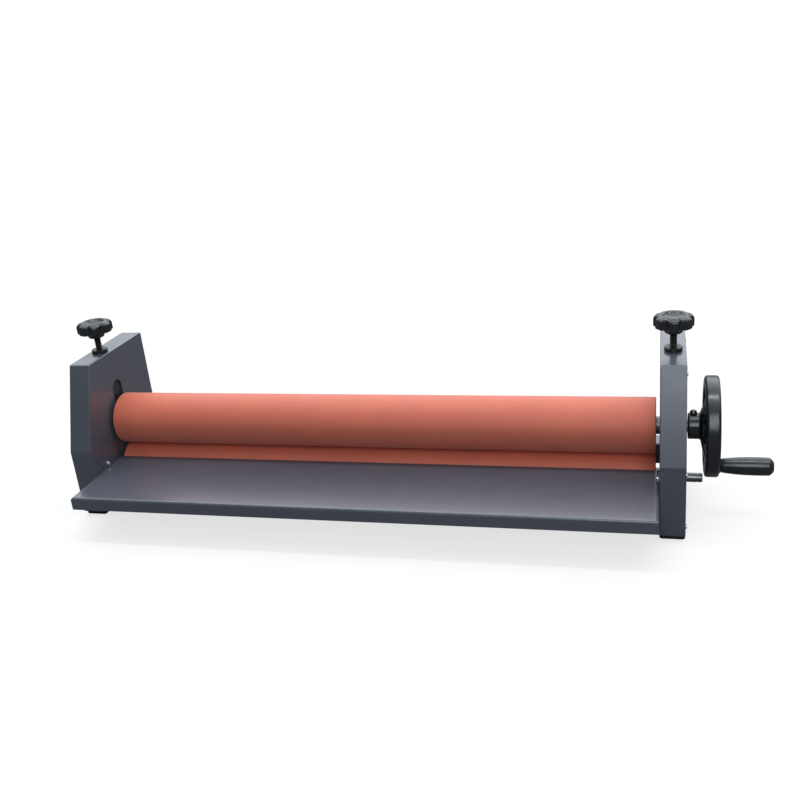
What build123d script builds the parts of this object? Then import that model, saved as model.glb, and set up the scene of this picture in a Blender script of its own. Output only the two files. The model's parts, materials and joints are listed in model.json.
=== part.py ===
from build123d import *
import math
import os

# Cold roll laminator: two rubber rollers between two folded steel towers, a feed table in front,
# a pressure screw on each tower and a crank wheel on the upper roller.
#
# Millimetres, +Z up, +X towards the crank wheel, -Y towards the operator. The origin is the centre
# of the footprint, on the surface that the machine stands on. Distances "along" are from the middle
# of the rollers, and distances "across" are from the upright plane through the roller axes.

X_MID = -64.1  # middle of the rollers
Y_AXIS = 47.0  # upright plane through the roller axes

# Rollers
FACE_LENGTH = 1000.0
ROLLER_R = 48.0
CORE_R = 40.0
CORE_WALL = 5.0
NIP_GAP = 0.3
LOWER_Z = 51.0
UPPER_Z = LOWER_Z + 2 * ROLLER_R + NIP_GAP
PLUG_LENGTH = 20.0
LIFT = 21.0  # how far the pressure screws raise the upper roller

# Towers
INNER_FACE = 506.0
TOWER_THICK = 41.0
SHEET = 3.0
COVER_T = 2.0
PLATE_BACK = INNER_FACE + SHEET
COVER_IN = INNER_FACE + TOWER_THICK - COVER_T
COVER_OUT = INNER_FACE + TOWER_THICK
FOOT_H = 7.0
TOWER_TOP = 282.0
TOWER_OUTLINE = [(-128, FOOT_H), (118, FOOT_H), (118, TOWER_TOP), (-72, TOWER_TOP), (-128, 131)]
BEND_R = 4.0
POSTS = [(-114, 20), (-114, 112), (-60, 264), (102, 264), (102, 140), (102, 20)]

# Shafts and 25 x 52 x 15 ball bearings
NECK_R = 15.0
SHAFT_R = 12.5
DRIVE_R = 10.0
PIN_R = 8.0
PIN_END = 577.0
BEARING_IN = 514.0
BEARING_W = 15.0
BEARING_R = 26.0
RACE_CENTRE_R = 19.25
BALL_R = 3.95
BALLS = 9
IDLE_END = 533.0

# Bearing blocks and their guides, inside each tower
BLOCK_HALF = 39.0
BLOCK_OUT = 534.7
SLIDE_GAP = 0.3
RAIL_W = 14.0
RAIL_OUT = 535.0
RAIL_LOW = 12.0
RAIL_HIGH = 246.0
KEEPER_T = 3.0
LOWER_BLOCK_TOP = 88.0
SLIDER_LOW = 97.3
SLIDER_TOP = 224.0
SLOT_W = 32.0
SLOT_TOP = 209.0
RAIL_MID = BLOCK_HALF + SLIDE_GAP + RAIL_W / 2
KEEPER_SCREWS = [(side * RAIL_MID, z) for side in (-1, 1) for z in (30, 112, 236)]
KEEPER_SCREWS += [(-31, 18), (31, 18)]

# Lift springs, between the blocks
SPRING_Y = 28.0
SPRING_X = 522.0
SPRING_R = 6.0
SPRING_WIRE = 1.6
SPRING_LOW = 71.0
SPRING_TOP = UPPER_Z - 20
POCKET_R = 7.5

# Pressure screws and star knobs
SCREW_X = 526.5
SCREW_R = 6.0
SCREW_FOOT = 218.3
COLLAR_R = 8.0
COLLAR_T = 5.4
BUSH_R = 10.0
BUSH_FLANGE_R = 14.7
BUSH_FLANGE_T = 6.5
KNOB_R = 32.7
KNOB_LOW = 312.0
KNOB_RIM_LOW = 322.5
KNOB_TOP = 343.0
KNOB_HUB_R = 15.8
KNOB_SLOPE = 4.0  # how far the top falls from the dish to the lobes
LOBES = 7
NOTCH_R = 7.0
NOTCH_DEPTH = 5.0

# Feed table
TABLE_TOP = 83.0
TABLE_FRONT = -212.0
TABLE_REAR = -40.0
TABLE_T = 2.0
TABLE_BEND_R = 5.0
TABLE_HALF = 505.8
FLANGE = 23.0
LIP = 12.0
EAR = (-84.0, 88.4)  # across and height of the ear's screw

# Cross members
TIE_ROD = (-90.0, 36.0)
TIE_ROD_R = 8.0
CROSSBAR = (94.0, 58.0)
CROSSBAR_SIDE = 40.0
CROSSBAR_WALL = 2.5
CROSSBAR_BOLTS = [(84.0, 58.0), (104.0, 58.0)]
BOLT_R = 4.0

# Feet and stand holes
PAD_LONG = 44.0
PAD_WIDE = 40.6
PADS = [(SCREW_X, -100), (SCREW_X, 92)]
STAND_HOLES = [(SCREW_X, -72), (SCREW_X, 72)]
STAND_HOLE_R = 4.5

# Crank wheel and its revolving grip
HUB_START = 551.0
HUB_R = 22.0
HUB_FLARE = 571.0
HUB_END = 597.0
RIM_IN = 577.5
RIM_OUT = 600.5
WHEEL_R = 84.6
RIM_DEPTH = 18.0
WINDOW_LOW_R = 31.0
WINDOW_HIGH_R = 64.0
WINDOW_HALF = 37.0  # degrees
CRANK_R = 65.0
CRANK_ANGLE = 25.0  # degrees from straight down, towards the operator
SPINDLE_R = 4.0
GRIP_START = 603.8
GRIP_END = 687.0
SET_SCREW_X = 560.0

CRANK_ACROSS = -CRANK_R * math.sin(math.radians(CRANK_ANGLE))
CRANK_Z = UPPER_Z - CRANK_R * math.cos(math.radians(CRANK_ANGLE))

MIDDLE = Plane.YZ.offset(X_MID)


def square_to_rollers(along):
    """An upright plane square to the rollers: sketch x is across, sketch y is height."""
    return Plane(origin=(X_MID + along, Y_AXIS, 0), x_dir=(0, 1, 0), z_dir=(1, 0, 0))


def level(z):
    """A horizontal plane: sketch x is along, sketch y is across."""
    return Plane(origin=(X_MID, Y_AXIS, z))


def along_rollers(across=0.0):
    """An upright plane along the rollers, facing the operator: sketch x is along, y is height."""
    return Plane(origin=(X_MID, Y_AXIS + across, 0), x_dir=(1, 0, 0), z_dir=(0, -1, 0))


def save(part, name):
    part.label = name
    export_step(part, f"parts/{name}.step")


def save_pair(part, name):
    """Write the right-hand piece and its mirror image on the left."""
    save(part, "right_" + name)
    save(part.mirror(MIDDLE), "left_" + name)


def both_sides(part):
    """Equal pieces on both towers, as one group of separate solids."""
    with BuildPart() as group:
        add(part)
        mirror(about=MIDDLE)
    return group.part


def turned(axis_z, outline, across=0.0):
    """A piece turned about an axis along the rollers; the outline lists (along, radius)."""
    with BuildPart() as piece:
        with BuildSketch(along_rollers(across)):
            with BuildLine():
                Polyline([(x, axis_z + r) for x, r in outline], close=True)
            make_face()
        revolve(axis=Axis((X_MID, Y_AXIS + across, axis_z), (1, 0, 0)))
    return piece.part


def turned_upright(outline, along=SCREW_X, across=0.0):
    """A piece turned about an upright axis; the outline lists (radius, height)."""
    with BuildPart() as piece:
        with BuildSketch(along_rollers(across)):
            with BuildLine():
                Polyline([(along + r, z) for r, z in outline], close=True)
            make_face()
        revolve(axis=Axis((X_MID + along, Y_AXIS + across, 0), (0, 0, 1)))
    return piece.part


# ---------------------------------------------------------------- towers


def side_frame():
    """Folded steel pan that is open to the outside, with welded posts for the cover."""
    with BuildPart() as pan:
        with BuildSketch(square_to_rollers(INNER_FACE)):
            with BuildLine():
                Polyline(TOWER_OUTLINE, close=True)
            make_face()
        extrude(amount=COVER_IN - INNER_FACE)
        fillet(pan.edges().filter_by(Axis.X), BEND_R)
        fillet(pan.faces().sort_by(Axis.X)[0].edges(), 1.5)
        with BuildSketch(square_to_rollers(PLATE_BACK)):
            with BuildLine():
                Polyline(TOWER_OUTLINE, close=True)
            make_face()
            offset(amount=-SHEET)
        extrude(amount=TOWER_THICK, mode=Mode.SUBTRACT)
        with BuildSketch(square_to_rollers(PLATE_BACK)):
            with Locations(*POSTS):
                Circle(5)
        extrude(amount=COVER_IN - PLATE_BACK)
        with BuildSketch(square_to_rollers(COVER_IN)):
            with Locations(*POSTS):
                Circle(2)
        extrude(amount=-14, mode=Mode.SUBTRACT)
        with BuildSketch(square_to_rollers(INNER_FACE)):
            with Locations((0, (UPPER_Z + SLOT_TOP) / 2)):
                SlotCenterToCenter(SLOT_TOP - UPPER_Z, SLOT_W, rotation=90)
            with Locations((0, LOWER_Z)):
                Circle(17)
            with Locations(TIE_ROD, *CROSSBAR_BOLTS):
                Circle(BOLT_R + 0.3)
            with Locations(EAR):
                Circle(3.2)
        extrude(amount=SHEET, mode=Mode.SUBTRACT)
        with BuildSketch(level(TOWER_TOP)):
            with Locations((SCREW_X, 0)):
                Circle(BUSH_R)
        extrude(amount=-SHEET, mode=Mode.SUBTRACT)
        with BuildSketch(level(FOOT_H)):
            with Locations(*STAND_HOLES):
                Circle(STAND_HOLE_R)
            with Locations(*PADS):
                Circle(2.5)
        extrude(amount=SHEET, mode=Mode.SUBTRACT)
    return pan.part


def outer_cover(shafts_pass):
    """Flat cover of a tower; the one beside the crank wheel lets both shafts through."""
    with BuildPart() as cover:
        with BuildSketch(square_to_rollers(COVER_IN)) as outline:
            with BuildLine():
                Polyline(TOWER_OUTLINE, close=True)
            make_face()
            fillet(outline.vertices(), BEND_R)
            with Locations(*POSTS):
                Circle(2.3, mode=Mode.SUBTRACT)
            if shafts_pass:
                with Locations((0, UPPER_Z + LIFT / 2)):
                    SlotCenterToCenter(LIFT, 27, rotation=90, mode=Mode.SUBTRACT)
                with Locations((0, LOWER_Z)):
                    Circle(PIN_R + 3, mode=Mode.SUBTRACT)
        extrude(amount=COVER_T)
        fillet(cover.faces().sort_by(Axis.X)[-1].outer_wire().edges(), 1)
    return cover.part


def cover_screws():
    with BuildPart() as screws:
        with BuildSketch(square_to_rollers(COVER_OUT)):
            with Locations(*POSTS):
                Circle(3.8)
        extrude(amount=2)
        fillet(screws.faces().filter_by(Axis.X).group_by(Axis.X)[-1].edges(), 1.2)
        with BuildSketch(square_to_rollers(COVER_OUT)):
            with Locations(*POSTS):
                Circle(2)
        extrude(amount=-12)
    return both_sides(screws.part)


def guide_rails():
    with BuildPart() as rails:
        with BuildSketch(square_to_rollers(PLATE_BACK)):
            with Locations((-RAIL_MID, (RAIL_LOW + RAIL_HIGH) / 2), (RAIL_MID, (RAIL_LOW + RAIL_HIGH) / 2)):
                Rectangle(RAIL_W, RAIL_HIGH - RAIL_LOW)
        extrude(amount=RAIL_OUT - PLATE_BACK)
        chamfer(rails.edges().filter_by(Axis.X), 1)
        with BuildSketch(square_to_rollers(RAIL_OUT)):
            with Locations(*KEEPER_SCREWS[:6]):
                Circle(2.5)
        extrude(amount=-14, mode=Mode.SUBTRACT)
    return rails.part


def keeper_plate():
    """Plate that holds both bearing blocks against the tower, with windows for the shafts."""
    low = 15
    with BuildPart() as keeper:
        with BuildSketch(square_to_rollers(RAIL_OUT)) as face:
            with Locations((0, (low + RAIL_HIGH) / 2)):
                Rectangle(2 * (RAIL_MID + RAIL_W / 2), RAIL_HIGH - low)
            fillet(face.vertices(), 3)
            with Locations((0, UPPER_Z + LIFT / 2)):
                SlotCenterToCenter(LIFT, 32, rotation=90, mode=Mode.SUBTRACT)
            with Locations((0, LOWER_Z)):
                Circle(16, mode=Mode.SUBTRACT)
            with Locations(*KEEPER_SCREWS):
                Circle(2.7, mode=Mode.SUBTRACT)
        extrude(amount=KEEPER_T)
    return keeper.part


def keeper_plate_screws():
    with BuildPart() as screws:
        with BuildSketch(square_to_rollers(RAIL_OUT + KEEPER_T)):
            with Locations(*KEEPER_SCREWS):
                Circle(4.25)
        extrude(amount=3)
        with BuildSketch(square_to_rollers(RAIL_OUT + KEEPER_T)):
            with Locations(*KEEPER_SCREWS):
                Circle(2.5)
        extrude(amount=-14)
        with BuildSketch(square_to_rollers(RAIL_OUT + KEEPER_T + 3)):
            with Locations(*KEEPER_SCREWS):
                RegularPolygon(2, 6)
        extrude(amount=-2, mode=Mode.SUBTRACT)
    return both_sides(screws.part)


# ---------------------------------------------------------------- bearing blocks and bearings


def bearing_block(near, low, high, axis_z):
    """Block with a bearing seat open to the outside and a smaller hole for the shaft's neck."""
    with BuildPart() as block:
        with BuildSketch(square_to_rollers(near)):
            with Locations((0, (low + high) / 2)):
                Rectangle(2 * BLOCK_HALF, high - low)
        extrude(amount=BLOCK_OUT - near)
        chamfer(block.edges().filter_by(Axis.X), 1.5)
        with BuildSketch(square_to_rollers(near)):
            with Locations((0, axis_z)):
                Circle(NECK_R + 2)
        extrude(amount=BLOCK_OUT - near, mode=Mode.SUBTRACT)
        with BuildSketch(square_to_rollers(BEARING_IN)):
            with Locations((0, axis_z)):
                Circle(BEARING_R)
        extrude(amount=BLOCK_OUT - BEARING_IN, mode=Mode.SUBTRACT)
    return block.part


def lower_bearing_block():
    with BuildPart() as block:
        add(bearing_block(PLATE_BACK, RAIL_LOW, LOWER_BLOCK_TOP, LOWER_Z))
        with BuildSketch(level(SPRING_LOW)):
            with Locations((SPRING_X, -SPRING_Y), (SPRING_X, SPRING_Y)):
                Circle(POCKET_R)
        extrude(amount=LOWER_BLOCK_TOP - SPRING_LOW, mode=Mode.SUBTRACT)
        with BuildSketch(square_to_rollers(BLOCK_OUT)):
            with Locations(*KEEPER_SCREWS[6:]):
                Circle(2.5)
        extrude(amount=-14, mode=Mode.SUBTRACT)
    return block.part


def sliding_block():
    """Upper bearing block, which hangs on the pressure screw's collar and slides in the rails."""
    with BuildPart() as block:
        add(bearing_block(PLATE_BACK + SLIDE_GAP, SLIDER_LOW, SLIDER_TOP, UPPER_Z))
        with BuildSketch(level(SLIDER_LOW)):
            with Locations((SPRING_X, -SPRING_Y), (SPRING_X, SPRING_Y)):
                Circle(POCKET_R)
        extrude(amount=SPRING_TOP - SLIDER_LOW, mode=Mode.SUBTRACT)
        with BuildSketch(level(SLIDER_TOP)):
            with Locations((SCREW_X, 0)):
                Circle(COLLAR_R + 0.4)
            with Locations((SCREW_X + 10, 0)):
                Rectangle(20, 2 * COLLAR_R + 0.8)
        extrude(amount=SCREW_FOOT - 0.3 - SLIDER_TOP, mode=Mode.SUBTRACT)
        with BuildSketch(level(SLIDER_TOP)):
            with Locations((SPRING_X, -24), (SPRING_X, 24)):
                Circle(2.5)
        extrude(amount=-12, mode=Mode.SUBTRACT)
    return block.part


def screw_retainers():
    """Forked plates that hold the pressure screws' collars down in the sliding blocks."""
    with BuildPart() as retainer:
        with BuildSketch(level(SLIDER_TOP)) as face:
            with Locations((SPRING_X, 0)):
                Rectangle(24, 64)
            fillet(face.vertices(), 3)
            with Locations((SCREW_X, 0)):
                Circle(SCREW_R + 0.4, mode=Mode.SUBTRACT)
            with Locations((SCREW_X + 10, 0)):
                Rectangle(20, 2 * SCREW_R + 0.8, mode=Mode.SUBTRACT)
            with Locations((SPRING_X, -24), (SPRING_X, 24)):
                Circle(2.7, mode=Mode.SUBTRACT)
        extrude(amount=4)
    return both_sides(retainer.part)


def retainer_screws():
    top = SLIDER_TOP + 4
    outline = [(0, top - 14), (2.5, top - 14), (2.5, top), (4.25, top), (4.25, top + 3), (0, top + 3)]
    with BuildPart() as screws:
        add(turned_upright(outline, SPRING_X, -24))
        add(turned_upright(outline, SPRING_X, 24))
    return both_sides(screws.part)


def race_ring(axis_z, inner, outer):
    """One ring of a ball bearing, with the balls' groove in it."""
    with BuildPart() as ring:
        with BuildSketch(along_rollers()):
            with Locations((BEARING_IN + BEARING_W / 2, axis_z + (inner + outer) / 2)):
                Rectangle(BEARING_W, outer - inner)
            with Locations((BEARING_IN + BEARING_W / 2, axis_z + RACE_CENTRE_R)):
                Circle(BALL_R + 0.3, mode=Mode.SUBTRACT)
        revolve(axis=Axis((X_MID, Y_AXIS, axis_z), (1, 0, 0)))
    return both_sides(ring.part)


def bearing_balls(axis_z):
    centre = square_to_rollers(BEARING_IN + BEARING_W / 2)
    with BuildPart() as balls:
        with Locations(centre * Location((0, axis_z, 0))):
            with PolarLocations(RACE_CENTRE_R, BALLS):
                Sphere(BALL_R)
    return both_sides(balls.part)


def bearing_cages(axis_z):
    """Moulded cage that spaces the balls."""
    centre = square_to_rollers(BEARING_IN + BEARING_W / 2)
    with BuildPart() as cage:
        with BuildSketch(centre.offset(-5.5)):
            with Locations((0, axis_z)):
                Circle(21)
                Circle(17.6, mode=Mode.SUBTRACT)
        extrude(amount=11)
        with Locations(centre * Location((0, axis_z, 0))):
            with PolarLocations(RACE_CENTRE_R, BALLS):
                Cylinder(BALL_R + 0.15, 8, rotation=(0, 90, 0), mode=Mode.SUBTRACT)
    return both_sides(cage.part)


def lift_springs():
    """Coil springs that push the sliding blocks up against the pressure screws."""
    height = SPRING_TOP - SPRING_LOW - SPRING_WIRE
    start = (X_MID + SPRING_X, Y_AXIS - SPRING_Y, SPRING_LOW + SPRING_WIRE / 2)
    with BuildPart() as spring:
        with BuildLine():
            coil = Helix(pitch=height / 9, height=height, radius=SPRING_R, center=start)
        with BuildSketch(Plane(origin=coil @ 0, z_dir=coil % 0)):
            Circle(SPRING_WIRE / 2)
        sweep(path=coil, is_frenet=True)
        mirror(about=Plane.XZ.offset(-Y_AXIS))
    return both_sides(spring.part)


# ---------------------------------------------------------------- rollers


def roller_sleeve(axis_z):
    half = FACE_LENGTH / 2
    edge = 1.2
    outline = [(-half, CORE_R), (half, CORE_R), (half, ROLLER_R - edge), (half - edge, ROLLER_R)]
    outline += [(edge - half, ROLLER_R), (-half, ROLLER_R - edge)]
    return turned(axis_z, outline)


def roller_core(axis_z):
    half = FACE_LENGTH / 2
    bore = CORE_R - CORE_WALL
    return turned(axis_z, [(-half, bore), (half, bore), (half, CORE_R), (-half, CORE_R)])


def end_plugs(axis_z):
    outer = FACE_LENGTH / 2 - 1
    inner = outer - PLUG_LENGTH
    plug_r = CORE_R - CORE_WALL
    outline = [(inner, NECK_R), (outer, NECK_R), (outer, plug_r - 1), (outer - 1, plug_r), (inner, plug_r)]
    return both_sides(turned(axis_z, outline))


def journal(axis_z, tail):
    """Stub shaft from the end plug outwards: neck, bearing seat with a clip groove, then the tail."""
    inner = FACE_LENGTH / 2 - 1 - PLUG_LENGTH
    clip = BEARING_IN + BEARING_W
    outline = [(inner, 0), (inner, NECK_R), (BEARING_IN, NECK_R), (BEARING_IN, SHAFT_R)]
    outline += [(clip, SHAFT_R), (clip, SHAFT_R - 0.9), (clip + 1.2, SHAFT_R - 0.9), (clip + 1.2, SHAFT_R)]
    return turned(axis_z, outline + tail)


def idle_tail():
    return [(IDLE_END - 1, SHAFT_R), (IDLE_END, SHAFT_R - 1), (IDLE_END, 0)]


def upper_drive_tail():
    end = HUB_START + 33
    return [(IDLE_END, SHAFT_R), (IDLE_END, DRIVE_R), (end - 1, DRIVE_R), (end, DRIVE_R - 1), (end, 0)]


def lower_drive_tail():
    """Bright pin with a fine groove near its chamfered end."""
    groove = PIN_END - 9
    tail = [(IDLE_END, SHAFT_R), (IDLE_END, PIN_R), (groove, PIN_R), (groove, PIN_R - 0.5)]
    tail += [(groove + 1.2, PIN_R - 0.5), (groove + 1.2, PIN_R)]
    return tail + [(PIN_END - 1.5, PIN_R), (PIN_END, PIN_R - 1.5), (PIN_END, 0)]


def retaining_rings(axis_z):
    """Spring clips that hold the bearings' inner rings on the journals."""
    clip = BEARING_IN + BEARING_W
    with BuildPart() as ring:
        with BuildSketch(square_to_rollers(clip)):
            with Locations((0, axis_z)):
                Circle(15.6)
                Circle(SHAFT_R - 0.9, mode=Mode.SUBTRACT)
            with Locations((0, axis_z + 14)):
                Rectangle(7, 8, mode=Mode.SUBTRACT)
        extrude(amount=1.2)
    return both_sides(ring.part)


# ---------------------------------------------------------------- pressure screws and knobs


def pressure_screw():
    collar_top = SCREW_FOOT + COLLAR_T
    top = KNOB_TOP - 8
    outline = [(0, SCREW_FOOT), (COLLAR_R - 1, SCREW_FOOT), (COLLAR_R, SCREW_FOOT + 1)]
    outline += [(COLLAR_R, collar_top), (SCREW_R, collar_top), (SCREW_R, top - 1), (SCREW_R - 1, top)]
    outline += [(0, top)]
    return turned_upright(outline)


def screw_bushes():
    """Threaded bushes in the towers' top walls, with a round flange on top."""
    bore = SCREW_R + 0.3
    low = TOWER_TOP - 18
    outline = [(bore, low), (BUSH_R, low), (BUSH_R, TOWER_TOP), (BUSH_FLANGE_R, TOWER_TOP)]
    outline += [(BUSH_FLANGE_R, TOWER_TOP + BUSH_FLANGE_T - 1)]
    outline += [(BUSH_FLANGE_R - 1, TOWER_TOP + BUSH_FLANGE_T), (bore, TOWER_TOP + BUSH_FLANGE_T)]
    return both_sides(turned_upright(outline))


def bush_lock_nuts():
    with BuildPart() as nut:
        with BuildSketch(level(TOWER_TOP - SHEET)):
            with Locations((SCREW_X, 0)):
                RegularPolygon(15, 6, major_radius=False)
                Circle(BUSH_R, mode=Mode.SUBTRACT)
        extrude(amount=-8)
    return both_sides(nut.part)


def star_knob(turn):
    """Moulded knob: seven broad lobes with hollows between them, a dished top and a round hub below."""
    edge = KNOB_TOP - KNOB_SLOPE
    dome = [(0, KNOB_RIM_LOW), (KNOB_R + 1, KNOB_RIM_LOW), (KNOB_R + 1, edge), (19, KNOB_TOP), (0, KNOB_TOP)]
    hub = [(0, KNOB_LOW), (KNOB_HUB_R - 2.5, KNOB_LOW), (KNOB_HUB_R - 0.7, KNOB_LOW + 1.2)]
    hub += [(KNOB_HUB_R, KNOB_LOW + 4), (KNOB_HUB_R, KNOB_RIM_LOW + 6), (0, KNOB_RIM_LOW + 6)]
    dish = [(0, KNOB_TOP - 5), (13, KNOB_TOP - 5), (18, KNOB_TOP), (18, KNOB_TOP + 1), (0, KNOB_TOP + 1)]
    with BuildPart() as knob:
        with BuildSketch(level(KNOB_RIM_LOW)) as star:
            with Locations((SCREW_X, 0)):
                Circle(KNOB_R)
                with PolarLocations(KNOB_R + NOTCH_R - NOTCH_DEPTH, LOBES, start_angle=turn + 180 / LOBES):
                    Circle(NOTCH_R, mode=Mode.SUBTRACT)
            fillet(star.vertices(), 4)
        extrude(amount=KNOB_TOP - KNOB_RIM_LOW)
        add(turned_upright(dome), mode=Mode.INTERSECT)
        fillet(knob.edges().filter_by_position(Axis.Z, edge - 1, KNOB_TOP - 0.5), 3)
        fillet(knob.edges().group_by(Axis.Z)[0], 2.5)
        add(turned_upright(hub))
        add(turned_upright(dish), mode=Mode.SUBTRACT)
        with BuildSketch(level(KNOB_LOW)):
            with Locations((SCREW_X, 0)):
                Circle(SCREW_R)
        extrude(amount=KNOB_TOP - 8 - KNOB_LOW, mode=Mode.SUBTRACT)
    return knob.part


# ---------------------------------------------------------------- feed table and cross members


def table_blank(front, half, top, radius):
    """Solid block under a table top whose front and end edges are rounded."""
    with BuildPart() as blank:
        with BuildSketch(level(top)):
            with Locations((0, (front + TABLE_REAR) / 2)):
                Rectangle(2 * half, TABLE_REAR - front)
        extrude(amount=-FLANGE)
        front_edge = blank.edges().filter_by(Axis.X).group_by(Axis.Z)[-1].sort_by(Axis.Y)[0]
        fillet([front_edge] + blank.edges().filter_by(Axis.Y).group_by(Axis.Z)[-1], radius)
    return blank.part


def feed_table():
    """Folded sheet table: flanges at the front and both ends, a lip, and an ear at each tower."""
    underside = TABLE_TOP - TABLE_T
    with BuildPart() as table:
        add(table_blank(TABLE_FRONT, TABLE_HALF, TABLE_TOP, TABLE_BEND_R))
        inside = table_blank(TABLE_FRONT + TABLE_T, TABLE_HALF - TABLE_T, underside, TABLE_BEND_R - TABLE_T)
        add(inside, mode=Mode.SUBTRACT)
        with BuildSketch(level(underside)):
            with Locations((0, TABLE_REAR)):
                Rectangle(2 * TABLE_HALF + 2, 16)
        extrude(amount=-FLANGE, mode=Mode.SUBTRACT)
        with BuildSketch(level(TABLE_TOP - FLANGE)):
            with Locations((0, TABLE_FRONT + LIP / 2)):
                Rectangle(2 * (TABLE_HALF - 8), LIP)
        extrude(amount=TABLE_T)
        with BuildSketch(square_to_rollers(TABLE_HALF - TABLE_T)):
            with Locations(EAR):
                SlotOverall(30, 16)
            with Locations((EAR[0], EAR[1] - 7)):
                Rectangle(30, 12)
            with Locations(EAR):
                Circle(3.2, mode=Mode.SUBTRACT)
        ears = extrude(amount=TABLE_T)
        mirror(ears, about=MIDDLE)
        with BuildSketch(square_to_rollers(-TABLE_HALF)):
            with Locations(EAR):
                Circle(3.2)
        extrude(amount=2 * TABLE_HALF, mode=Mode.SUBTRACT)
    return table.part


def table_stiffener():
    """Upward-facing channel under the table."""
    underside = TABLE_TOP - TABLE_T
    with BuildPart() as channel:
        with BuildSketch(square_to_rollers(-480)):
            with BuildLine():
                Polyline(
                    (-146, underside), (-146, underside - 16), (-112, underside - 16), (-112, underside),
                    (-114, underside), (-114, underside - 14), (-144, underside - 14), (-144, underside),
                    close=True,
                )
            make_face()
        extrude(amount=960)
    return channel.part


def table_screws():
    """Round-headed screws that hold the table's ears to the towers."""
    head = TABLE_HALF - TABLE_T
    outline = [(head - 3.3, 0), (head - 3.3, 2.8), (head - 2.2, 4.4), (head, 5), (head, 3)]
    outline += [(521, 3), (521, 0)]
    with BuildPart() as screw:
        add(turned(EAR[1], outline, EAR[0]))
        with BuildSketch(square_to_rollers(head - 3.3)):
            with Locations(EAR):
                RegularPolygon(2.3, 6)
        extrude(amount=2, mode=Mode.SUBTRACT)
    return both_sides(screw.part)


def table_nuts():
    with BuildPart() as nut:
        with BuildSketch(square_to_rollers(PLATE_BACK)):
            with Locations(EAR):
                RegularPolygon(5, 6, major_radius=False)
                Circle(3, mode=Mode.SUBTRACT)
        extrude(amount=5)
    return both_sides(nut.part)


def front_tie_rod():
    with BuildPart() as rod:
        with BuildSketch(square_to_rollers(-INNER_FACE)):
            with Locations(TIE_ROD):
                Circle(TIE_ROD_R)
        extrude(amount=2 * INNER_FACE)
        for end in (-INNER_FACE, INNER_FACE):
            with BuildSketch(square_to_rollers(end)):
                with Locations(TIE_ROD):
                    Circle(BOLT_R)
            extrude(amount=-math.copysign(22, end), mode=Mode.SUBTRACT)
    return rod.part


def rear_crossbar():
    """Square tube with a tapped plate welded into each end."""
    plate_t = 8
    with BuildPart() as bar:
        with BuildSketch(square_to_rollers(-INNER_FACE)):
            with Locations(CROSSBAR):
                RectangleRounded(CROSSBAR_SIDE, CROSSBAR_SIDE, 4)
        extrude(amount=2 * INNER_FACE)
        inner = CROSSBAR_SIDE - 2 * CROSSBAR_WALL
        with BuildSketch(square_to_rollers(plate_t - INNER_FACE)):
            with Locations(CROSSBAR):
                RectangleRounded(inner, inner, 1.5)
        extrude(amount=2 * (INNER_FACE - plate_t), mode=Mode.SUBTRACT)
        with BuildSketch(square_to_rollers(-INNER_FACE)):
            with Locations(*CROSSBAR_BOLTS):
                Circle(BOLT_R)
        extrude(amount=2 * INNER_FACE, mode=Mode.SUBTRACT)
    return bar.part


def cross_member_bolts():
    """Hexagon bolts inside the towers: one to the tie rod and two to the crossbar on each side."""
    places = [TIE_ROD, *CROSSBAR_BOLTS]
    with BuildPart() as bolts:
        with BuildSketch(square_to_rollers(PLATE_BACK)):
            with Locations(*places):
                RegularPolygon(6.5, 6, major_radius=False)
        extrude(amount=5.3)
        with BuildSketch(square_to_rollers(PLATE_BACK)):
            with Locations(*places):
                Circle(BOLT_R)
        extrude(amount=-11)
    return both_sides(bolts.part)


def rubber_feet():
    with BuildPart() as pads:
        with BuildSketch(level(0)):
            with Locations(*PADS):
                RectangleRounded(PAD_WIDE, PAD_LONG, 5)
        extrude(amount=FOOT_H)
        chamfer(pads.faces().sort_by(Axis.Z)[:2].edges(), 0.8)
        with BuildSketch(level(0)):
            with Locations(*PADS):
                Circle(5.5)
        extrude(amount=2.2, mode=Mode.SUBTRACT)
        with BuildSketch(level(0)):
            with Locations(*PADS):
                Circle(2.5)
        extrude(amount=FOOT_H, mode=Mode.SUBTRACT)
    return both_sides(pads.part)


def foot_screws():
    top = FOOT_H + SHEET + 2
    outline = [(0, 0.7), (4, 0.7), (4.5, 1.2), (4.5, 2.2), (2.5, 2.2), (2.5, top), (0, top)]
    with BuildPart() as screws:
        for along, across in PADS:
            add(turned_upright(outline, along, across))
    return both_sides(screws.part)


# ---------------------------------------------------------------- crank wheel


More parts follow.
